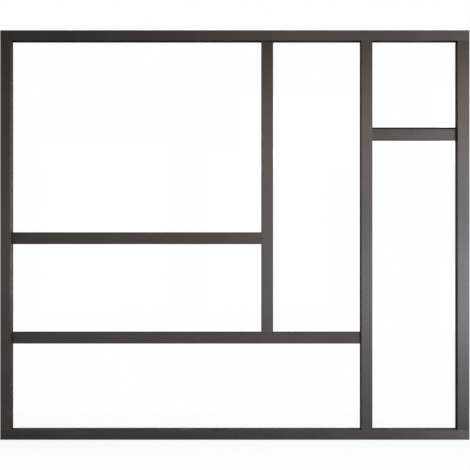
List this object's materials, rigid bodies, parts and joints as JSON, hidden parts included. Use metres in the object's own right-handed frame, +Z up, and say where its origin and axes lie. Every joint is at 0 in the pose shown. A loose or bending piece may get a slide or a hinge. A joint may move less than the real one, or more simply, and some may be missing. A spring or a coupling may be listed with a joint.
{
  "type": "glass partition wall",
  "caption": "Fixed floor-to-ceiling glazed partition with a dark metal frame, deep outer members and set-back transoms dividing it into unequal clear panes.",
  "frame": {"origin": "middle of the sill's underside, at floor level, halfway along the wall and through its depth; the glass is 9 mm behind it", "axes": "+X along the wall to the right as seen from the front, +Y from the front to the bead side at the rear, +Z up"},
  "size_m": [2.75, 0.046, 2.4],
  "materials": {
    "frame_bronze": "satin dark bronze anodised",
    "bead_bronze": "satin dark bronze anodised, as the frame",
    "clear_glass": "clear polished toughened glass",
    "black_gasket": "matte black",
    "connector_aluminium": "mill finish",
    "screw_steel": "bright zinc plated",
    "setting_block": "matte"
  },
  "bodies": {
    "root": {"sill_rail": "frame_bronze", "head_rail": "frame_bronze", "left_stile": "frame_bronze", "right_stile": "frame_bronze", "main_mullion": "frame_bronze", "upper_mullion": "frame_bronze", "upper_transom": "frame_bronze", "lower_transom": "frame_bronze", "right_transom": "frame_bronze", "corner_spigots": "connector_aluminium", "main_mullion_spigots": "connector_aluminium", "bar_spigots": "connector_aluminium", "connector_screws": "screw_steel", "locking_screws": "screw_steel", "setting_blocks": "setting_block", "top_left_glass": "clear_glass", "top_left_front_gasket": "black_gasket", "top_left_rear_gasket": "black_gasket", "middle_left_glass": "clear_glass", "middle_left_front_gasket": "black_gasket", "middle_left_rear_gasket": "black_gasket", "bottom_left_glass": "clear_glass", "bottom_left_front_gasket": "black_gasket", "bottom_left_rear_gasket": "black_gasket", "centre_glass": "clear_glass", "centre_front_gasket": "black_gasket", "centre_rear_gasket": "black_gasket", "top_right_glass": "clear_glass", "top_right_front_gasket": "black_gasket", "top_right_rear_gasket": "black_gasket", "bottom_right_glass": "clear_glass", "bottom_right_front_gasket": "black_gasket", "bottom_right_rear_gasket": "black_gasket", "top_left_bead_bottom": "bead_bronze", "top_left_bead_right": "bead_bronze", "top_left_bead_top": "bead_bronze", "top_left_bead_left": "bead_bronze", "middle_left_bead_bottom": "bead_bronze", "middle_left_bead_right": "bead_bronze", "middle_left_bead_top": "bead_bronze", "middle_left_bead_left": "bead_bronze", "bottom_left_bead_bottom": "bead_bronze", "bottom_left_bead_right": "bead_bronze", "bottom_left_bead_top": "bead_bronze", "bottom_left_bead_left": "bead_bronze", "centre_bead_bottom": "bead_bronze", "centre_bead_right": "bead_bronze", "centre_bead_top": "bead_bronze", "centre_bead_left": "bead_bronze", "top_right_bead_bottom": "bead_bronze", "top_right_bead_right": "bead_bronze", "top_right_bead_top": "bead_bronze", "top_right_bead_left": "bead_bronze", "bottom_right_bead_bottom": "bead_bronze", "bottom_right_bead_right": "bead_bronze", "bottom_right_bead_top": "bead_bronze", "bottom_right_bead_left": "bead_bronze"}
  },
  "joints": []
}
